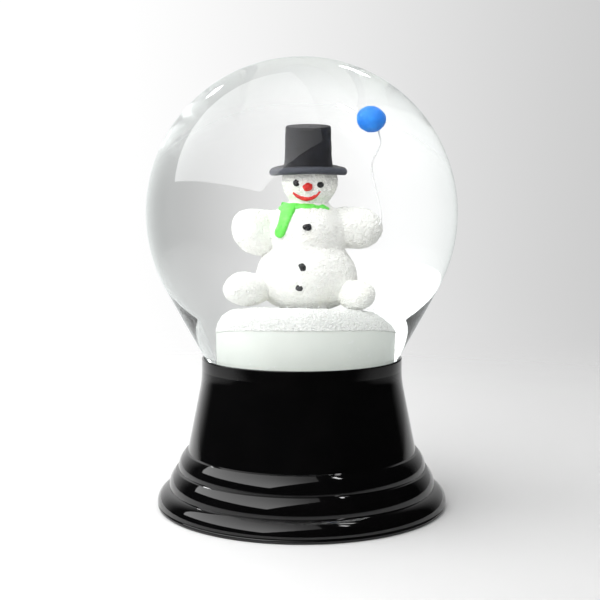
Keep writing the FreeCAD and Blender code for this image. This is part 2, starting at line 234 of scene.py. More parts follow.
def red_paint():
    paint = Paint("red_paint", (0.62, 0.014, 0.012), 0.38)
    paint.mix_color(paint.ranged(paint.noise(0.7, 3), 0.5, 0.7), (0.80, 0.05, 0.025))
    paint.vary_roughness(paint.noise(0.6, 2), 0.3, 0.5)
    paint.bump(paint.noise(0.4, 2), 0.03, 0.6)
    return paint.material


def coal_paint():
    paint = Paint("coal_paint", (0.006, 0.0065, 0.008), 0.22)
    paint.mix_color(paint.ranged(paint.noise(0.6, 3), 0.5, 0.75), (0.016, 0.018, 0.020))
    paint.vary_roughness(paint.noise(0.5, 3), 0.16, 0.45)
    paint.bump(paint.noise(0.45, 2), 0.05, 0.7)
    return paint.material


def balloon_paint():
    paint = Paint("balloon_paint", (0.012, 0.22, 0.86), 0.5)
    paint.mix_color(paint.ranged(paint.noise(1.6, 3), 0.45, 0.75), (0.02, 0.30, 0.95))
    paint.mix_color(paint.ranged(paint.noise(0.5, 3), 0.62, 0.75), (0.05, 0.38, 0.95))
    paint.vary_roughness(paint.noise(0.9, 3), 0.42, 0.62)
    paint.bump(paint.noise(0.5, 3), 0.05, 0.7)
    return paint.material


def wire_coating():
    paint = Paint("wire_coating", (0.86, 0.87, 0.87), 0.35)
    paint.mix_color(paint.ranged(paint.noise(1.5, 2), 0.4, 0.7), (0.93, 0.935, 0.935))
    paint.vary_roughness(paint.noise(0.4, 2), 0.3, 0.5)
    paint.bump(paint.noise(0.3, 2, stretch=(1, 1, 3)), 0.01, 0.5)
    return paint.material


def flake_film():
    paint = Paint("flake_film", (0.93, 0.94, 0.94), 0.3)
    paint.mix_color(paint.ranged(paint.noise(0.4, 2), 0.5, 0.7), (0.85, 0.88, 0.88))
    paint.vary_roughness(paint.noise(0.2, 2), 0.2, 0.45)
    paint.bump(paint.noise(0.2, 2), 0.01, 0.5)
    return paint.material


def plaster():
    paint = Paint("set_plaster", (0.78, 0.76, 0.71), 0.85)
    paint.mix_color(paint.ranged(paint.specks(1.4), 0.1, 0.5), (0.66, 0.64, 0.60))
    paint.bump(paint.noise(0.6, 4, 0.7), 0.12, 0.8)
    return paint.material


def plate_plastic():
    paint = Paint("plate_plastic", (0.02, 0.02, 0.021), 0.5)
    paint.vary_roughness(paint.noise(1.5, 3), 0.42, 0.6)
    paint.bump(paint.specks(0.35), 0.03, 0.7)
    return paint.material


def pad_rubber():
    paint = Paint("pad_rubber", (0.035, 0.035, 0.034), 0.85)
    paint.mix_color(paint.ranged(paint.specks(0.8), 0.0, 0.4), (0.02, 0.02, 0.02))
    paint.bump(paint.specks(0.8), 0.12, 0.8)
    return paint.material


def seal_silicone():
    paint = Paint("seal_silicone", (0.55, 0.60, 0.66), 0.45)
    paint.vary_roughness(paint.noise(1.0, 3), 0.35, 0.55)
    paint.bump(paint.noise(0.8, 2, stretch=(3, 3, 1)), 0.04, 0.6)
    return paint.material


def stopper_rubber():
    paint = Paint("stopper_rubber", (0.78, 0.77, 0.72), 0.6)
    paint.mix_color(paint.ranged(paint.noise(4, 3), 0.45, 0.7), (0.72, 0.70, 0.64))
    paint.bump(paint.noise(0.5, 3), 0.04, 0.6)
    return paint.material


def clear_glass(name, ior, tint):
    """Glass, tinted where it is seen edge on, that lets lamps light what is inside."""
    material = bpy.data.materials.new(name)
    material.use_nodes = True
    tree = material.node_tree
    tree.nodes.remove(tree.nodes["Principled BSDF"])
    glass = tree.nodes.new("ShaderNodeBsdfGlass")
    glass.inputs["IOR"].default_value = ior
    glass.inputs["Roughness"].default_value = 0.0
    edge = tree.nodes.new("ShaderNodeLayerWeight")
    edge.inputs["Blend"].default_value = 0.22
    tinted = tree.nodes.new("ShaderNodeMix")
    tinted.data_type = "RGBA"
    tinted.inputs["A"].default_value = (1, 1, 1, 1)
    tinted.inputs["B"].default_value = (*tint, 1)
    tree.links.new(edge.outputs["Facing"], tinted.inputs["Factor"])
    tree.links.new(tinted.outputs["Result"], glass.inputs["Color"])
    open_way = tree.nodes.new("ShaderNodeBsdfTransparent")
    open_way.inputs["Color"].default_value = (0.995, 0.998, 0.99, 1)
    path = tree.nodes.new("ShaderNodeLightPath")
    mix = tree.nodes.new("ShaderNodeMixShader")
    tree.links.new(path.outputs["Is Shadow Ray"], mix.inputs[0])
    tree.links.new(glass.outputs[0], mix.inputs[1])
    tree.links.new(open_way.outputs[0], mix.inputs[2])
    tree.links.new(mix.outputs[0], tree.nodes["Material Output"].inputs["Surface"])
    return material


# ---------------------------------------------------------------- mesh helpers

def from_bmesh(name, bm, materials, smooth=True):
    """An object made of a bmesh in metres, which is freed."""
    bmesh.ops.recalc_face_normals(bm, faces=bm.faces)
    mesh = bpy.data.meshes.new(name)
    bm.to_mesh(mesh)
    bm.free()
    for material in materials if isinstance(materials, list) else [materials]:
        mesh.materials.append(material)
    mesh.polygons.foreach_set("use_smooth", [smooth] * len(mesh.polygons))
    thing = bpy.data.objects.new(name, mesh)
    bpy.context.scene.collection.objects.link(thing)
    return thing


def piece(thing, node, body=BASE):
    """This object stands for one or more CAD nodes and moves with a body."""
    nodes = node if isinstance(node, (list, tuple)) else [node]
    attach(thing, body)
    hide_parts(*nodes)
    return thing


def grain(p, size_mm, octaves=3, seed=0.0):
    """Smooth noise, about -1 to 1, with lumps size_mm across; p is in millimetres."""
    return noise.fractal(p / size_mm + Vector((seed, 3.1 * seed, -seed)), 0.7, 2.0, octaves)


def round_ring(count):
    """The angles of count points spread round a circle."""
    return [2 * math.pi * k / count for k in range(count)]


def arc_points(first, last, centre, count):
    """Points on the circle about centre, from first to last, all (radius, height)."""
    a0 = math.atan2(first[1] - centre[1], first[0] - centre[0])
    a1 = math.atan2(last[1] - centre[1], last[0] - centre[0])
    radius = math.hypot(first[0] - centre[0], first[1] - centre[1])
    steps = [a0 + (a1 - a0) * k / count for k in range(count + 1)]
    return [(centre[0] + radius * math.cos(a), centre[1] + radius * math.sin(a)) for a in steps]


def between(first, last, share):
    """The (radius, height) a share of the way from one to another."""
    return (first[0] + (last[0] - first[0]) * share, first[1] + (last[1] - first[1]) * share)


def join_rings(bm, rings, closed=False):
    """Faces from each ring of points to the next, and from the last to the first if closed."""
    following = rings[1:] + rings[:1] if closed else rings[1:]
    for low, high in zip(rings, following):
        for k in range(len(low)):
            j = (k + 1) % len(low)
            bm.faces.new((low[k], low[j], high[j], high[k]))


def close_ends(bm, rings):
    """A face across the first ring and another across the last."""
    bm.faces.new(list(reversed(rings[0])))
    bm.faces.new(rings[-1])


def lathe(profile, segments, slot_of=None, x_mm=0.0):
    """A bmesh turned about the upright line at x_mm from (radius, height) pairs in millimetres."""
    bm = bmesh.new()
    rings = []
    for r, z in profile:
        if r < 1e-6:
            rings.append([bm.verts.new((x_mm * MM, 0, z * MM))])
            continue
        ring = []
        for a in round_ring(segments):
            x, y = x_mm + r * math.cos(a), r * math.sin(a)
            ring.append(bm.verts.new((x * MM, y * MM, z * MM)))
        rings.append(ring)
    for i, (low, high) in enumerate(zip(rings, rings[1:])):
        for k in range(segments):
            j = (k + 1) % segments
            below = [low[k % len(low)], low[j % len(low)]]
            above = [high[j % len(high)], high[k % len(high)]]
            corners = list(dict.fromkeys(below + above))
            if len(corners) > 2:
                face = bm.faces.new(corners)
                face.material_index = slot_of(i) if slot_of else 0
    return bm


def ellipsoid_mesh(centre, radii, turn, detail):
    """A bmesh ball stretched to radii, turned and placed, all in millimetres."""
    bm = bmesh.new()
    bmesh.ops.create_icosphere(bm, subdivisions=detail, radius=1.0)
    matrix = Matrix.Translation(Vector(centre)) @ turn @ Matrix.Diagonal((*radii, 1))
    bmesh.ops.transform(bm, matrix=matrix, verts=bm.verts)
    return bm


def merge(bm, other):
    """Adds another bmesh to bm, and frees it."""
    mesh = bpy.data.meshes.new("joined")
    other.to_mesh(mesh)
    other.free()
    bm.from_mesh(mesh)
    bpy.data.meshes.remove(mesh)


def sculpt(bm, push):
    """Moves each point along its normal by push(point), and then puts all in metres."""
    bm.normal_update()
    moves = [(v, v.normal * push(v.co)) for v in bm.verts]
    for v, move in moves:
        v.co += move
    bmesh.ops.scale(bm, vec=(MM, MM, MM), verts=bm.verts)


def tube(name, points, radii, material, sides=12):
    """A tube through points, with a radius at each, in millimetres."""
    bm = bmesh.new()
    rings = []
    for i, (centre, radius) in enumerate(zip(points, radii)):
        ahead = points[min(i + 1, len(points) - 1)] - points[max(i - 1, 0)]
        turn = ahead.to_track_quat("Z", "Y").to_matrix()
        ways = [Vector((math.cos(a), math.sin(a), 0)) for a in round_ring(sides)]
        rings.append([bm.verts.new(centre + turn @ way * radius) for way in ways])
    join_rings(bm, rings)
    close_ends(bm, rings)
    bmesh.ops.scale(bm, vec=(MM, MM, MM), verts=bm.verts)
    return from_bmesh(name, bm, material)


def smooth_path(points, count):
    """Evenly stepped points on a smooth curve through given ones (Catmull-Rom)."""
    ends = [points[0] * 2 - points[1]] + points + [points[-1] * 2 - points[-2]]
    found = []
    spans = len(points) - 1
    for k in range(count + 1):
        t = k / count * spans
        i = min(int(t), spans - 1)
        u = t - i
        a, b, c, d = ends[i:i + 4]
        squared = (2 * a - 5 * b + 4 * c - d) * u ** 2
        cubed = (3 * b - a - 3 * c + d) * u ** 3
        found.append(0.5 * (2 * b + (c - a) * u + squared + cubed))
    return found


# ---------------------------------------------------------------- glass and water

GLOBE_R, GLOBE_Z, WALL = 40.0, 75.64, 1.6
NECK_R, NECK_BORE_R, NECK_Z, NECK_FILLET = 23.7, 21.2, 22.0, 6.0
CONE_SLOPE, INNER_SLOPE = 0.55, 0.58
FILLET_STEPS, CONE_STEPS, BALL_STEPS, GLOBE_SEGMENTS = 8, 12, 120, 256


def glass_side(sphere_r, slope, neck_r):
    """Outline of one face of the glass, from the neck's bottom to the top of the ball."""
    angle = math.atan(slope)
    cone_top = (sphere_r * math.cos(angle), GLOBE_Z - sphere_r * math.sin(angle))
    corner_z = cone_top[1] - (cone_top[0] - neck_r) / slope
    cut = NECK_FILLET * math.tan(angle / 2)
    bend_start = (neck_r, corner_z - cut)
    bend_end = (neck_r + cut * math.sin(angle), corner_z + cut * math.cos(angle))
    centre = (neck_r + NECK_FILLET, corner_z - cut)
    points = [(neck_r, NECK_Z), (neck_r, (NECK_Z + corner_z) / 2)]
    points += arc_points(bend_start, bend_end, centre, FILLET_STEPS)
    points += [between(bend_end, cone_top, k / CONE_STEPS) for k in range(1, CONE_STEPS)]
    for k in range(BALL_STEPS):
        a = -angle + (math.pi / 2 + angle) * k / BALL_STEPS
        points.append((sphere_r * math.cos(a), GLOBE_Z + sphere_r * math.sin(a)))
    points.append((0.0, GLOBE_Z + sphere_r))
    return points


def globe():
    """One closed skin: glass against air outside, and glass against water inside."""
    outside = glass_side(GLOBE_R, CONE_SLOPE, NECK_R)
    inside = glass_side(GLOBE_R - WALL, INNER_SLOPE, NECK_BORE_R)
    profile = outside + list(reversed(inside)) + [outside[0]]
    neck_end = len(profile) - 2

    def slot_of(i):
        return 0 if i < len(outside) - 1 or i == neck_end else 1

    bm = lathe(profile, GLOBE_SEGMENTS, slot_of)
    bmesh.ops.remove_doubles(bm, verts=bm.verts, dist=1e-7)
    materials = [
        clear_glass("glass_to_air", GLASS_IOR, (0.91, 0.96, 0.95)),
        clear_glass("glass_to_water", GLASS_IOR / WATER_IOR, (0.97, 0.985, 0.97)),
    ]
    shell = from_bmesh("glass_ball_and_water", bm, materials)
    piece(shell, ["glass_globe", "liquid_fill"])


# ---------------------------------------------------------------- scenery

DRUM_DRAFT = 0.985      # the drum's lowest radius, as a share of its top one
DRUM_WAVE = 0.05        # how far its side is out of true
HEAP_ROUND = 4.4        # how far in from its side the heap is rounded
HEAP_SINK = 0.5         # how much lower it is on the right
HEAP_SIDE_RINGS, HEAP_TOP_RINGS, HEAP_SEGMENTS = 60, 44, 320
FLAKE_SEED = 7
FLAKE_THICK = 0.06


def drum():
    low, high, middle = box_mm("plinth_drum")
    radius = (high.x - low.x) / 2
    corners = [
        (0, low.z),
        (radius * DRUM_DRAFT, low.z),
        (radius * 0.99, low.z + 6),
        (radius, high.z - 0.3),
        (radius, high.z),
        (0, high.z),
    ]
    profile = []
    for first, last in zip(corners, corners[1:]):
        count = max(1, int(math.dist(first, last) / 0.8))
        profile += [between(first, last, k / count) for k in range(count)]
    bm = lathe(profile + [corners[-1]], 160, x_mm=middle.x)
    for v in bm.verts:
        p = v.co / MM
        side = Vector((p.x - middle.x, p.y, 0))
        if side.length > 1:
            v.co += side.normalized() * (DRUM_WAVE * grain(p, 9, 2, 4.0)) * MM
    piece(from_bmesh("plinth_drum_cast", bm, drum_resin()), "plinth_drum")


def heap_side(t, radius, tall, rightness):
    """Radius and rise a share t of the way up: rounded on the left, a slope on the right."""
    turn = math.pi / 2 * t
    rounded = (radius - HEAP_ROUND * (1 - math.cos(turn)), tall * math.sin(turn))
    sloping = (radius - 0.4 * t - 4.0 * t ** 1.5, (tall - HEAP_SINK) * t ** 0.94)
    return between(rounded, sloping, rightness)


def heap_top(t, radius, tall, rightness):
    """Radius and rise a share t of the way in over the top."""
    return (radius - HEAP_ROUND) * (1 - t), tall - HEAP_SINK * rightness * (1 - t)


def snow_on_heap(p, way, share):
    """How hand modelling and loose grains move a point that is a share of the way up."""
    swell = (0.28 * grain(p, 6, 2, 1.5) - 0.25 + 0.35 * max(0.0, -way.x)) * share
    bead = 0.10 * noise.cell(p / 0.31) + 0.13 * grain(p, 0.8, 3, 7.0) - 0.08
    face_out = (way * (1 - share) + Vector((0, 0, share + 0.05))).normalized()
    return Vector((0, 0, swell)) + face_out * bead * min(1.0, 4 * share)


def mound():
    """The heap: rounded on the left, straighter and lower on the right, and granular all over."""
    low, high, middle = box_mm("snow_mound")
    radius, tall = (high.x - low.x) / 2, high.z - low.z
    bm = bmesh.new()
    rings = []
    for i in range(HEAP_SIDE_RINGS + HEAP_TOP_RINGS):
        ring = []
        for a in round_ring(HEAP_SEGMENTS):
            rightness = max(0.0, math.cos(a)) ** 1.5
            if i <= HEAP_SIDE_RINGS:
                r, rise = heap_side(i / HEAP_SIDE_RINGS, radius, tall, rightness)
            else:
                t = (i - HEAP_SIDE_RINGS) / HEAP_TOP_RINGS
                r, rise = heap_top(t, radius, tall, rightness)
            way = Vector((math.cos(a), math.sin(a), 0))
            p = Vector((middle.x, 0, low.z + rise)) + way * r
            if i:
                p += snow_on_heap(p, way, rise / tall)
            ring.append(bm.verts.new(p * MM))
        rings.append(ring)
    join_rings(bm, rings)
    close_ends(bm, rings)
    piece(from_bmesh("snow_mound_grains", bm, granular_snow()), "snow_mound")


def flakes_on_heap(count, x):
    """Places on the heap's shoulder, where flakes lie level."""
    low, high, _ = box_mm("snow_mound")
    outside = (high.x - low.x) / 2
    places = []
    for k in range(count):
        a = GOLDEN_ANGLE * k
        r = outside * (0.64 + 0.32 * noise.random_unit_vector().z ** 2)
        past = max(0.0, (r - outside + HEAP_ROUND) / HEAP_ROUND)
        z = low.z + (high.z - low.z) * math.sqrt(max(0.0, 1 - past ** 2))
        places.append((Vector((x + r * math.cos(a), r * math.sin(a), z + 0.12)), None))
    return places


def flakes_on_drum(count, x, drum_r, bottom):
    """Places on the drum's side, two in three on the right, each with the way it faces."""
    places = []
    for k in range(count):
        to_side = 1 if k % 3 else -0.8
        a = -math.pi / 2 + 0.95 * to_side + 0.55 * noise.random_unit_vector().x
        z = bottom + 4.8 + 8.0 * abs(noise.random_unit_vector().y) ** 1.6
        out = Vector((math.cos(a), math.sin(a), 0))
        places.append((Vector((x, 0, z)) + out * (drum_r + 0.1), out))
    return places


def flakes_in_trough(count, drum_r, bottom):
    """Places between the drum and the glass, where flakes pile up."""
    trough_r = (drum_r + NECK_BORE_R) / 2
    places = []
    for k in range(count):
        a = GOLDEN_ANGLE * k
        r = trough_r + 1.1 * noise.random_unit_vector().x
        z = bottom + 0.1 + 2.6 * abs(noise.random_unit_vector().y)
        places.append((Vector((r * math.cos(a) + 0.3, r * math.sin(a), z)), None))
    return places


def flakes():
    """Settled six-sided flakes, level or flat against the side that they stick to."""
    noise.seed_set(FLAKE_SEED)
    bm = bmesh.new()
    low, high, middle = box_mm("plinth_drum")
    drum_r = (high.x - low.x) / 2
    places = flakes_on_heap(150, middle.x)
    places += flakes_on_drum(70, middle.x, drum_r, low.z)
    places += flakes_in_trough(160, drum_r, low.z)
    for centre, out in places:
        size = 0.10 + 0.12 * abs(noise.random_unit_vector().x)
        up = (out or Vector((0, 0, 1))) + noise.random_unit_vector() * (0.25 if out else 0.8)
        turn = up.to_track_quat("Z", "Y").to_matrix().to_4x4()
        flake = bmesh.ops.create_cone(
            bm, cap_ends=True, segments=6, radius1=size, radius2=size * 0.85, depth=FLAKE_THICK
        )
        spin = Matrix.Rotation(GOLDEN_ANGLE * size * 97, 4, "Z")
        matrix = Matrix.Translation(centre) @ turn @ spin
        bmesh.ops.transform(bm, matrix=matrix, verts=flake["verts"])
    bmesh.ops.scale(bm, vec=(MM, MM, MM), verts=bm.verts)
    thing = from_bmesh("settled_flakes", bm, flake_film(), smooth=False)
    piece(thing, "snow_flakes")


# ---------------------------------------------------------------- snowman

BELLY_AT, BELLY_R = Vector((1.0, 0, 63.4)), Vector((9.8, 9.4, 7.6))
TORSO_AT, TORSO_R = Vector((1.1, -0.3, 72.0)), Vector((7.5, 7.3, 6.6))
HEAD_AT, HEAD_R = Vector((1.55, 0, 82.2)), Vector((5.35, 5.3, 5.15))
ALONG_X = (1, 0, 0)
UNTURNED = Matrix.Identity(4)
MELD = 2.0              # how near two lumps are before their coats of snow run together
SUNK_IN_HEAP = 0.8      # how far into the heap the figure's flat underside goes
BODY_COAT, LIMB_COAT = 0.15, 0.10
CAST_LUMP = 0.16

# Each cast piece: its node, its name, and its lumps' centres, radii along and across, and the way
# that each one points.
CASTS = [
    ("snowman_belly", "belly_cast", [(BELLY_AT, BELLY_R, ALONG_X)]),
    ("snowman_torso", "torso_cast", [(TORSO_AT, TORSO_R, ALONG_X)]),
    ("snowman_head", "head_cast", [(HEAD_AT, HEAD_R, ALONG_X)]),
    ("arm_left", "left_arm_cast", [
        ((-9.4, 0.0, 72.2), (4.8, 3.9, 3.85), (-0.62, 0, 0.72)),
        ((-6.6, 0.6, 74.1), (3.4, 2.6, 2.3), (-1, 0, -0.05)),
    ]),
    ("arm_right", "right_arm_cast", [
        ((10.5, 0.7, 73.1), (5.1, 3.8, 4.1), (1, 0, -0.04)),
        ((7.4, 0.8, 74.0), (3.2, 2.6, 2.3), (1, 0, 0.1)),
    ]),
    ("foot_left", "left_foot_cast", [((-11.2, -4.2, 60.6), (4.8, 3.6, 3.65), (-0.9, -0.42, -0.02))]),
    ("foot_right", "right_foot_cast", [((11.2, -5.6, 59.2), (4.3, 3.2, 3.4), (0.7, -0.72, 0.06))]),
]

# Places on the figure's front are (x, z).
EYE_LEFT_AT, EYE_RIGHT_AT = (-1.07, 81.9), (3.64, 81.55)
NOSE_AT = (1.12, 81.1)
MOUTH_ROUTE = [(-1.75, 79.95), (-0.6, 79.15), (1.0, 78.78), (2.4, 79.15), (3.62, 80.2)]
# Each lump of coal: its node, name, the lump behind it, place, radii, seed, lumpiness and turn.
BUTTONS = [
    ("button_chest", "coal_chest", (TORSO_AT, TORSO_R), (1.1, 73.2), (0.90, 0.5, 0.74), 6.0, 0.2, 0.1),
    (
        "button_belly_upper", "coal_belly_upper",
        (BELLY_AT, BELLY_R), (0.1, 65.05), (0.72, 0.5, 0.88), 7.0, 0.22, -0.5,
    ),
    (
        "button_belly_lower", "coal_belly_lower",
        (BELLY_AT, BELLY_R), (-0.48, 60.9), (0.80, 0.5, 0.70), 8.0, 0.2, 0.2,
    ),
]


def pointed(way):
    return Vector(way).to_track_quat("X", "Z").to_matrix()


def near_lump(centre, radii, way):
    """A function that gives a point's rough distance outside one lump, or None when it is far."""
    centre, radii = Vector(centre), Vector(radii)
    back = pointed(way).inverted()
    reach = max(radii) + MELD

    def distance(p):
        away = p - centre
        if away.length > reach:
            return None
        local = back @ away
        once = Vector((local.x / radii.x, local.y / radii.y, local.z / radii.z))
        twice = Vector((once.x / radii.x, once.y / radii.y, once.z / radii.z))
        if twice.length < 1e-6:
            return -min(radii)
        return once.length * (once.length - 1) / twice.length

    return distance


def stipple(p, seed, coat):
    """How far hand modelling and thick paint push a surface out, in millimetres."""
    broad = CAST_LUMP * grain(p, 4.5, 2, seed)
    dabs = coat * grain(p, 0.52, 2, seed + 11)
    strokes = 0.4 * coat * grain(Vector((p.x, p.y, p.z * 0.3)), 0.6, 2, seed + 5)
    return broad + dabs + strokes


def front_of(centre, radii, x, z, proud=0.0):
    """The point on an ellipsoid's front at x and z, in millimetres."""
    share = 1 - ((x - centre.x) / radii.x) ** 2 - ((z - centre.z) / radii.z) ** 2
    return Vector((x, centre.y - radii.y * math.sqrt(max(share, 0.0)) - proud, z))


def snowman_body():
    """The cast lumps, whose coats of paint fill the creases between them."""
    paint = snow_paint()
    underside = box_mm("snow_mound")[1].z - SUNK_IN_HEAP
    near = {node: [near_lump(*lump) for lump in lumps] for node, _, lumps in CASTS}
    for seed, (node, name, lumps) in enumerate(CASTS, 1):
        bm = bmesh.new()
        for centre, radii, way in lumps:
            merge(bm, ellipsoid_mesh(centre, radii, pointed(way).to_4x4(), 6))
        coat = BODY_COAT if node.startswith("snowman_") else LIMB_COAT
        neighbours = [one for other, found in near.items() if other != node for one in found]
        if len(lumps) > 1:
            neighbours += near[node]

        def push(p):
            fill = 0.0
            for distance in neighbours:
                gap = distance(p)
                if gap is not None and 0.02 < gap < MELD:
                    fill = max(fill, (MELD - gap) ** 2 / (4 * MELD))
            return stipple(p, float(seed), coat) + fill

        for v in bm.verts:
            v.co.z = max(v.co.z, underside)
        sculpt(bm, push)
        piece(from_bmesh(name, bm, paint), node)


def dab(name, node, centre, radii, material, seed, lumpy, turn=0.0):
    """A raised dab of paint or lump of coal, flat against what is behind it."""
    bm = ellipsoid_mesh(centre, radii, Matrix.Rotation(turn, 4, "Y"), 4)
    sculpt(bm, lambda p: lumpy * grain(p, 0.9, 2, seed))
    piece(from_bmesh(name, bm, material), node)


def face_and_buttons():
    coal, red = coal_paint(), red_paint()
    left = front_of(HEAD_AT, HEAD_R, *EYE_LEFT_AT)
    right = front_of(HEAD_AT, HEAD_R, *EYE_RIGHT_AT)
    bm = ellipsoid_mesh(left, (0.70, 0.42, 0.72), Matrix.Rotation(0.25, 4, "Y"), 4)
    merge(bm, ellipsoid_mesh(right, (0.68, 0.42, 0.62), UNTURNED, 4))
    sculpt(bm, lambda p: 0.06 * grain(p, 0.7, 2, 2.0))
    piece(from_bmesh("painted_eyes", bm, coal), "eyes")
    nose = front_of(HEAD_AT, HEAD_R, *NOSE_AT, 0.15)
    dab("red_nose", "nose", nose, (0.92, 0.8, 0.86), red, 3.0, 0.16)
    smile(red)
    for node, name, behind, place, radii, seed, lumpy, turn in BUTTONS:
        dab(name, node, front_of(*behind, *place), radii, coal, seed, lumpy, turn)


def smile(red):
    """A painted line that is thickest in the middle."""
    points = smooth_path([front_of(HEAD_AT, HEAD_R, x, z) for x, z in MOUTH_ROUTE], 48)
    radii = []
    for k, p in enumerate(points):
        t = k / (len(points) - 1)
        radii.append(0.15 + 0.31 * math.sin(math.pi * t) ** 0.8 + 0.04 * grain(p, 0.6, 2, 9.0))
    piece(tube("smiling_mouth", points, radii, red), "mouth")


# ---------------------------------------------------------------- scarf

SCARF_AT = Vector((0.9, 0, 77.75))
KNOT_AT, FOLD_AT = math.radians(226), math.radians(318)
SCARF_ROUNDS, SCARF_SIDES = 160, 20
# Places down the middle of the hanging end, (x, z).
TAIL_ROUTE = [(-2.5, 77.5), (-2.85, 76.3), (-3.5, 74.3), (-4.15, 72.6), (-4.5, 71.4)]
TAIL_ROWS, TAIL_ACROSS = 36, 14
TAIL_THICK = 0.55


def hump(a, centre, width):
    """A smooth rise to 1 at an angle."""
    return math.exp(-((a - centre) / width) ** 2)


def scarf():
    """A thin painted wrap, knotted on the left, with one end down the chest."""
    green = scarf_paint()
    bm = bmesh.new()
    rings = []
    for a in round_ring(SCARF_ROUNDS):
        out = Vector((math.cos(a), math.sin(a), 0))
        knot = hump(a, KNOT_AT, 0.36)
        fold = hump(a, FOLD_AT, 0.16)
        tall = 0.56 + 0.50 * knot + 0.28 * fold + 0.08 * grain(out * 6, 1.6, 2, 3.0)
        thick = 0.72 + 0.40 * knot + 0.15 * fold
        right, left, front = max(0.0, out.x) ** 2, max(0.0, -out.x) ** 2, max(0.0, -out.y)
        droop = -0.50 * front - 1.25 * right - 0.75 * left - 0.10 * knot
        spread = 4.25 + 0.75 * right + 0.45 * left
        ring = []
        for b in round_ring(SCARF_SIDES):
            side = out * (spread + thick * math.cos(b) - 0.35 * math.sin(b))
            rise = Vector((0, 0, tall * math.sin(b) + droop))
            ring.append(bm.verts.new(SCARF_AT + side + rise))
        rings.append(ring)
    join_rings(bm, rings, closed=True)
    bmesh.ops.recalc_face_normals(bm, faces=bm.faces)
    sculpt(bm, lambda p: 0.09 * grain(p, 0.8, 3, 12.0))
    piece(from_bmesh("scarf_wrapped", bm, green), "scarf_wrap")
    scarf_tail(green)


def scarf_tail(green):
    """The hanging end, which widens into the knot and follows the chest."""
    line = smooth_path([Vector((x, 0, z)) for x, z in TAIL_ROUTE], TAIL_ROWS)
    bm = bmesh.new()
    rings = []
    for i, p in enumerate(line):
        t = i / (len(line) - 1)
        narrowing = 0.25 * max(0.0, (t - 0.88) / 0.12) ** 2
        width = 1.35 - 0.62 * t + 0.10 * math.sin(9 * t) - narrowing
        thinning = (1 - max(0.0, (t - 0.93) / 0.07) ** 2) ** 0.5
        backs, fronts = [], []
        for k in range(TAIL_ACROSS + 1):
            s = -1 + 2 * k / TAIL_ACROSS
            x = p.x + s * width + 0.07 * grain(Vector((s, t * 6, 2)), 0.6, 2)
            z = p.z - 0.25 * s - (0.35 * (1 - s * s) if t > 0.97 else 0)
            thick = TAIL_THICK * (1 - abs(s) ** 4) ** 0.5 * thinning
            front = front_of(TORSO_AT, TORSO_R, x, z, 0.12)
            out = (front - TORSO_AT).normalized()
            backs.append(bm.verts.new(front_of(TORSO_AT, TORSO_R, x, z, -0.3)))
            fronts.append(bm.verts.new(front + out * thick))
        rings.append(backs + list(reversed(fronts)))
    join_rings(bm, rings)
    for ring in (rings[0], rings[-1]):
        for k in range(TAIL_ACROSS):
            bm.faces.new((ring[k], ring[k + 1], ring[-k - 2], ring[-k - 1]))
    bmesh.ops.recalc_face_normals(bm, faces=bm.faces)
    sculpt(bm, lambda p: 0.06 * grain(p, 0.7, 3, 13.0))
    piece(from_bmesh("scarf_hanging_end", bm, green), "scarf_tail")


# ---------------------------------------------------------------- hat

HAT_SEGMENTS = 160
BRIM_EDGE_R = 0.72
BRIM_DROP, BRIM_DROP_LEFT = 0.55, 0.10
# Radii from the hat's axis over which the brim's painted sheen, lighter and bluer, comes in.
RIM_SHEEN_RADII = (6.3, 7.7)
CROWN_EDGE_R, CROWN_TAPER, CROWN_FLARE = 0.35, 0.2, 0.32


def hat():
    """A hand-painted top hat with a thick, slightly drooping brim."""
    middle = box_mm("hat_brim")[2]
    paint = hat_paint(middle.x, RIM_SHEEN_RADII)
    hat_brim(paint)
    hat_crown(paint, middle)


def hat_brim(paint):
    low, high, middle = box_mm("hat_brim")
    brim_r = (high.x - low.x) / 2
    z = middle.z - 0.1
    profile = [(0, z - 0.55), (3.0, z - 0.55), (5.2, z - 0.6)]
    rim = (brim_r - BRIM_EDGE_R, z)
    for k in range(21):
        a = -math.pi / 2 + math.pi * k / 20
        profile.append((rim[0] + BRIM_EDGE_R * math.cos(a), z + BRIM_EDGE_R * math.sin(a)))
    profile += [(6.0, z + 0.62), (5.2, z + 0.6), (4.4, z + 0.62), (0, z + 0.62)]
    bm = lathe(profile, HAT_SEGMENTS, x_mm=middle.x)
    for v in bm.verts:
        p = v.co / MM
        side = (p.x - middle.x) / brim_r
        droop = BRIM_DROP * abs(side) ** 3 + BRIM_DROP_LEFT * max(0.0, -side) ** 2
        p.z += 0.12 * grain(p, 4.0, 2, 21.0) + 0.04 * grain(p, 0.8, 2, 22.0) - droop
        v.co = p * MM
    piece(from_bmesh("brim_painted", bm, paint), "hat_brim")


def hat_crown(paint, brim_middle):
    low, high, _ = box_mm("hat_crown")
    crown_r = (high.x - low.x) / 2
    top_r = crown_r - CROWN_TAPER
    bottom, shoulder = brim_middle.z + 0.45, high.z - CROWN_EDGE_R
    profile = [(0, bottom - 0.25), (crown_r + 0.35, bottom - 0.1)]
    for k in range(27):
        t = k / 26
        r, z = between((crown_r, bottom), (top_r, shoulder), t)
        profile.append((r + CROWN_FLARE * math.exp(-t * 14), z))
    centre = (top_r - CROWN_EDGE_R, shoulder)
    profile += arc_points((top_r, shoulder), (top_r - CROWN_EDGE_R, high.z), centre, 6)
    for k in range(1, 11):
        t = k / 10
        profile.append((top_r * (1 - t), high.z - 0.05 * math.sin(math.pi * t)))
    bm = lathe(profile, HAT_SEGMENTS, x_mm=brim_middle.x)
    for v in bm.verts:
        p = v.co / MM
        out = Vector((p.x - brim_middle.x, p.y, 0))
        if out.length > 0.5:
            wave = 0.09 * grain(p, 3.5, 2, 23.0) + 0.03 * grain(p, 0.7, 2, 24.0)
            p += out.normalized() * wave
        v.co = p * MM
    piece(from_bmesh("crown_painted", bm, paint), "hat_crown")


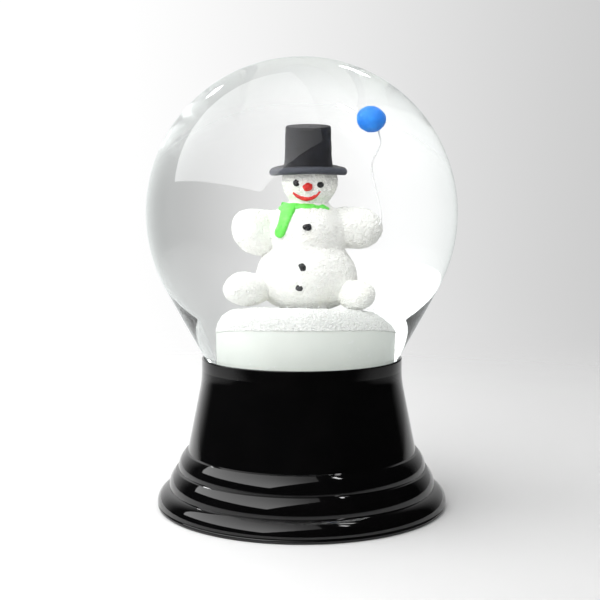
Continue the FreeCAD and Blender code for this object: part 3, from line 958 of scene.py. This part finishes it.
# ---------------------------------------------------------------- balloon

FINGER_FLATS, FLAT_TURN = 22, 2.4
FLAT_DEPTH, FLAT_NEAR = 0.81, 0.965
WIRE_R = 0.175
WIRE_ROUTE = [
    Vector((15.1, -1.2, 73.6)),
    Vector((15.5, -1.2, 74.75)),
    Vector((15.15, -1.2, 77.4)),
    Vector((14.4, -1.1, 80.8)),
    Vector((13.7, -1.1, 83.9)),
    Vector((13.8, -1.2, 86.1)),
    Vector((15.3, -1.4, 89.4)),
    Vector((14.95, -1.4, 92.2)),
]


def spread_way(k):
    """One of FINGER_FLATS directions spread over a ball."""
    z = 1 - 2 * (k + 0.5) / FINGER_FLATS
    r = math.sqrt(1 - z ** 2)
    return Vector((math.cos(FLAT_TURN * k) * r, math.sin(FLAT_TURN * k) * r, z))


def balloon():
    low, high, middle = box_mm("balloon")
    bm = ellipsoid_mesh(middle, (high - low) / 2 * 0.985, UNTURNED, 5)
    flats = [spread_way(k) for k in range(FINGER_FLATS)]

    def push(p):
        """Flat places left by fingers, and a skin of paint."""
        way = (p - middle).normalized()
        nearest = max(way.dot(flat) for flat in flats)
        return FLAT_DEPTH * (nearest - FLAT_NEAR) - 0.02 + 0.05 * grain(p, 1.2, 3, 31.0)

    sculpt(bm, push)
    thing = from_bmesh("blue_balloon", bm, balloon_paint())
    piece(thing, "balloon", SWAYING)
    points = smooth_path(WIRE_ROUTE, 140)
    wire = tube("balloon_wire_bent", points, [WIRE_R] * len(points), wire_coating(), 12)
    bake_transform(wire)
    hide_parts("balloon_wire")


# ---------------------------------------------------------------- carried-over CAD nodes

def finish_cad_nodes():
    """The base and what is under it keep their CAD shapes and get better materials."""
    finishes = {
        "base_shell": black_gloss(),
        "plaster_fill": plaster(),
        "bottom_plate": plate_plastic(),
        "non_slip_pad": pad_rubber(),
        "collar_gasket": seal_silicone(),
        "rubber_stopper": stopper_rubber(),
    }
    for name, material in finishes.items():
        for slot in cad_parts[name].material_slots:
            slot.material = material


# ---------------------------------------------------------------- studio (in metres)

FLOOR_R = 1.2
# Painted light: the floor's colour is paler on the left and greyer on the right, standing in for the
# fall-off of light from the left panel.
FLOOR_PAINTED_FALLOFF = (-0.10, 0.12, 0.70, 0.53)      # from x and to x, and how pale it is at each
FLOOR_FADE = (0.08, 0.42)                   # where it starts to fade and is gone
FRONT_STRETCH = -2.5                        # it fades sooner towards the front
TENT_SIDES = (-0.30, 0.42, 1.06, 0.56)      # bright on the left, light grey on the right
TENT_UNDER = (-0.45, -0.05, 0.16, 0.0)      # a little brighter from below
OPEN_FRONT = (0.45, 0.95, 1.0, 0.0)         # a mirrored ray leaves the tent unless it goes back
ROOM_DARKNESS = 0.985
PANEL_ACROSS = Vector((0.764, 0.248, 0.595)).normalized()
PANEL_FACING = Vector((-0.588, -0.107, 0.80)).normalized()
PANEL_UP = PANEL_FACING.cross(PANEL_ACROSS).normalized()
PANEL_AT = Vector((-0.338, -0.099, 0.564)) + 0.04 * PANEL_ACROSS - 0.12 * PANEL_UP
PANEL_SIZE, PANEL_EDGES = (0.95, 1.14), (3.4, 0.7)
BALL_AT = Vector((0, 0, GLOBE_Z * MM))
LAMP_DISTANCE = 0.6
# Each small lamp: its name, the way to it from the ball, its size and its radiance.
SMALL_LAMPS = [
    ("small_lamp_left", (-0.41, 0.72, 0.57), (0.05, 0.04), 14.0),
    ("small_lamp_back", (0.22, 0.78, 0.58), (0.07, 0.05), 12.0),
    ("streak_lamp_high", (0.385, -0.07, 0.92), (0.03, 0.10), 16.0),
    ("streak_lamp_low", (0.43, -0.36, 0.83), (0.03, 0.10), 16.0),
]
FILL_AT, FILL_SIZE, FILL_RADIANCE = Vector((-0.30, -0.62, 0.42)), (0.30, 0.30), 1.45
CAMERA_AT, CAMERA_DIP, LENS, SENSOR = (-0.47 * MM, -283.14 * MM, 78.68 * MM), 0.089, 65.41, 36.0


def math_node(tree, operation, first, second=None):
    """A Math node, whose operands are numbers or other nodes' outputs."""
    node = tree.nodes.new("ShaderNodeMath")
    node.operation = operation
    for socket, value in zip(node.inputs, (first, second)):
        if value is None:
            continue
        if isinstance(value, (int, float)):
            socket.default_value = value
        else:
            tree.links.new(value, socket)
    return node.outputs[0]


def range_node(tree, value, *limits):
    """A smooth change from one value to another; limits are from, to, and a value at each."""
    node = tree.nodes.new("ShaderNodeMapRange")
    node.interpolation_type = "SMOOTHSTEP"
    tree.links.new(value, node.inputs["Value"])
    set_range(node, *limits)
    return node.outputs[0]


def split_xyz(tree, vector):
    """The three parts of a node's vector output."""
    split = tree.nodes.new("ShaderNodeSeparateXYZ")
    tree.links.new(vector, split.inputs[0])
    return split.outputs["X"], split.outputs["Y"], split.outputs["Z"]


def studio_floor_material():
    """Pale grey with painted light, paler on the left and greyer on the right as if lit from the left.
    It goes clear with distance, sooner in front.
    """
    material = bpy.data.materials.new("studio_floor")
    material.use_nodes = True
    tree = material.node_tree
    shader = tree.nodes["Principled BSDF"]
    shader.inputs["Roughness"].default_value = 0.9
    shader.inputs["Specular IOR Level"].default_value = 0.1
    x, y, _ = split_xyz(tree, tree.nodes.new("ShaderNodeTexCoord").outputs["Object"])
    # Painted light: the colour goes from pale on the left to grey on the right.
    tree.links.new(range_node(tree, x, *FLOOR_PAINTED_FALLOFF), shader.inputs["Base Color"])
    depth = math_node(tree, "MAXIMUM", y, math_node(tree, "MULTIPLY", y, FRONT_STRETCH))
    across = math_node(tree, "POWER", math_node(tree, "ABSOLUTE", x), 2.0)
    square = math_node(tree, "ADD", across, math_node(tree, "POWER", depth, 2.0))
    fade = range_node(tree, math_node(tree, "SQRT", square), *FLOOR_FADE, 0.0, 1.0)
    clear = tree.nodes.new("ShaderNodeBsdfTransparent")
    mix = tree.nodes.new("ShaderNodeMixShader")
    tree.links.new(fade, mix.inputs[0])
    tree.links.new(shader.outputs[0], mix.inputs[1])
    tree.links.new(clear.outputs[0], mix.inputs[2])
    tree.links.new(mix.outputs[0], tree.nodes["Material Output"].inputs["Surface"])
    return material


def studio_floor():
    """A round pale floor that fades into the surroundings."""
    bm = bmesh.new()
    bmesh.ops.create_circle(bm, cap_ends=True, segments=96, radius=FLOOR_R)
    from_bmesh("studio_floor", bm, studio_floor_material())


def studio_world():
    """A pale tent. Its front is open, so mirrored rays see a dark room there."""
    world = bpy.data.worlds.new("studio_tent")
    bpy.context.scene.world = world
    world.use_nodes = True
    tree = world.node_tree
    background = tree.nodes["Background"]
    x, y, z = split_xyz(tree, tree.nodes.new("ShaderNodeTexCoord").outputs["Generated"])
    sides = range_node(tree, x, *TENT_SIDES)
    tent = math_node(tree, "ADD", sides, range_node(tree, z, *TENT_UNDER))
    path = tree.nodes.new("ShaderNodeLightPath")
    not_through = math_node(tree, "SUBTRACT", 1.0, path.outputs["Is Transmission Ray"])
    mirrored = math_node(tree, "MULTIPLY", path.outputs["Is Glossy Ray"], not_through)
    opening = math_node(tree, "MULTIPLY", range_node(tree, y, *OPEN_FRONT), mirrored)
    dark = math_node(tree, "MULTIPLY", opening, ROOM_DARKNESS)
    shade = math_node(tree, "SUBTRACT", 1.0, dark)
    strength = math_node(tree, "MULTIPLY", tent, shade)
    tree.links.new(strength, background.inputs["Strength"])
    background.inputs["Color"].default_value = (1, 1, 1, 1)


def area_light(name, place, rotation, size, radiance, edges=None, in_gloss=True):
    """A soft panel, where a radiance of 1 is paper white. edges are its shares at its two sides."""
    data = bpy.data.lights.new(name, "AREA")
    data.shape = "RECTANGLE"
    data.size, data.size_y = size
    data.energy = radiance * math.pi * size[0] * size[1]
    if edges is not None:
        data.use_nodes = True
        tree = data.node_tree
        x, _, _ = split_xyz(tree, tree.nodes.new("ShaderNodeNewGeometry").outputs["Parametric"])
        strength = range_node(tree, x, 0.0, 1.0, *edges)
        tree.links.new(strength, tree.nodes["Emission"].inputs["Strength"])
    lamp = bpy.data.objects.new(name, data)
    bpy.context.scene.collection.objects.link(lamp)
    lamp.location = place
    lamp.rotation_euler = rotation
    lamp.visible_camera = False
    lamp.visible_glossy = in_gloss


def at_ball(place):
    """The rotation of a lamp that faces the ball."""
    return (BALL_AT - place).to_track_quat("-Z", "Y").to_euler()


def studio_lights():
    turn = Matrix((PANEL_ACROSS, PANEL_UP, PANEL_FACING)).transposed().to_euler()
    area_light("left_panel", PANEL_AT, turn, PANEL_SIZE, 1.0, edges=PANEL_EDGES)
    for name, way, size, radiance in SMALL_LAMPS:
        place = BALL_AT + Vector(way).normalized() * LAMP_DISTANCE
        area_light(name, place, at_ball(place), size, radiance)
    area_light("front_fill", FILL_AT, at_ball(FILL_AT), FILL_SIZE, FILL_RADIANCE, in_gloss=False)


def camera():
    """Level with the middle of the ball, looking a little down."""
    data = bpy.data.cameras.new("camera")
    data.sensor_width = SENSOR
    data.lens = LENS
    data.clip_start = 0.01
    eye = bpy.data.objects.new("camera", data)
    bpy.context.scene.collection.objects.link(eye)
    eye.location = CAMERA_AT
    eye.rotation_euler = (math.pi / 2 - CAMERA_DIP, 0, 0)
    bpy.context.scene.camera = eye


def render_settings():
    """Enough bounces for light to pass both walls of the glass and come back."""
    scene = bpy.context.scene
    scene.view_settings.view_transform = "Standard"
    scene.cycles.use_denoising = True
    scene.cycles.max_bounces = 14
    scene.cycles.transmission_bounces = 12
    scene.cycles.transparent_max_bounces = 12
    scene.cycles.glossy_bounces = 5
    scene.cycles.diffuse_bounces = 4
    scene.cycles.caustics_refractive = True
    scene.cycles.caustics_reflective = True
    scene.cycles.sample_clamp_indirect = 6.0


render_settings()
camera()
studio_world()
studio_lights()
studio_floor()
finish_cad_nodes()
globe()
drum()
mound()
flakes()
snowman_body()
face_and_buttons()
scarf()
hat()
balloon()
